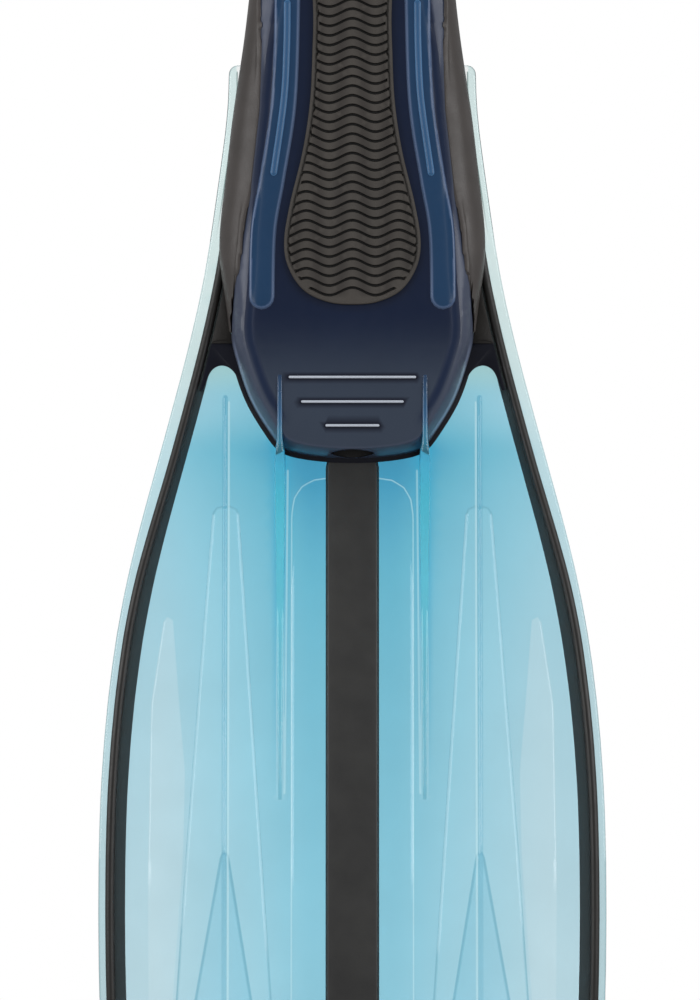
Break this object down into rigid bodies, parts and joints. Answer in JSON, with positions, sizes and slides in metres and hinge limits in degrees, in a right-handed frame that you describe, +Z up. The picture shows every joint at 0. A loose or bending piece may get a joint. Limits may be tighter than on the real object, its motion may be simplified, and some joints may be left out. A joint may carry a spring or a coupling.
{
  "type": "swim fin",
  "caption": "Full-foot swim fin with a see-through blade, rubber edge rails and centre strip, keel ribs, a closed-heel foot pocket and a grooved tread.",
  "frame": {"origin": "under the middle of the fin, on the surface that it lies on", "axes": "+Z up, the sole underneath; +Y towards the heel, the blade's tip towards -Y; +X across"},
  "size_m": [0.2138, 0.6002, 0.0759],
  "materials": {
    "blade_plastic": "see-through aqua, smooth moulded",
    "keel_plastic": "see-through cyan, smooth moulded",
    "sole_plastic": "navy, high gloss",
    "tread_rubber": "matt black moulded rubber",
    "pocket_rubber": "satin brown-black moulded rubber",
    "rail_rubber": "satin black moulded rubber",
    "welt_rubber": "dark navy moulded rubber",
    "footbed_foam": "matt insole"
  },
  "bodies": {
    "root": {"blade": "blade_plastic", "keel_rib_left": "keel_plastic", "keel_rib_right": "keel_plastic", "sole_plate": "sole_plastic", "tread_pad": "tread_rubber", "pocket_rand": "pocket_rubber", "pocket_upper": "pocket_rubber", "footbed": "footbed_foam", "toe_welt": "welt_rubber", "corner_web_left": "rail_rubber", "corner_web_right": "rail_rubber", "side_rail_left": "rail_rubber", "side_rail_right": "rail_rubber", "centre_strip": "rail_rubber"}
  },
  "joints": []
}
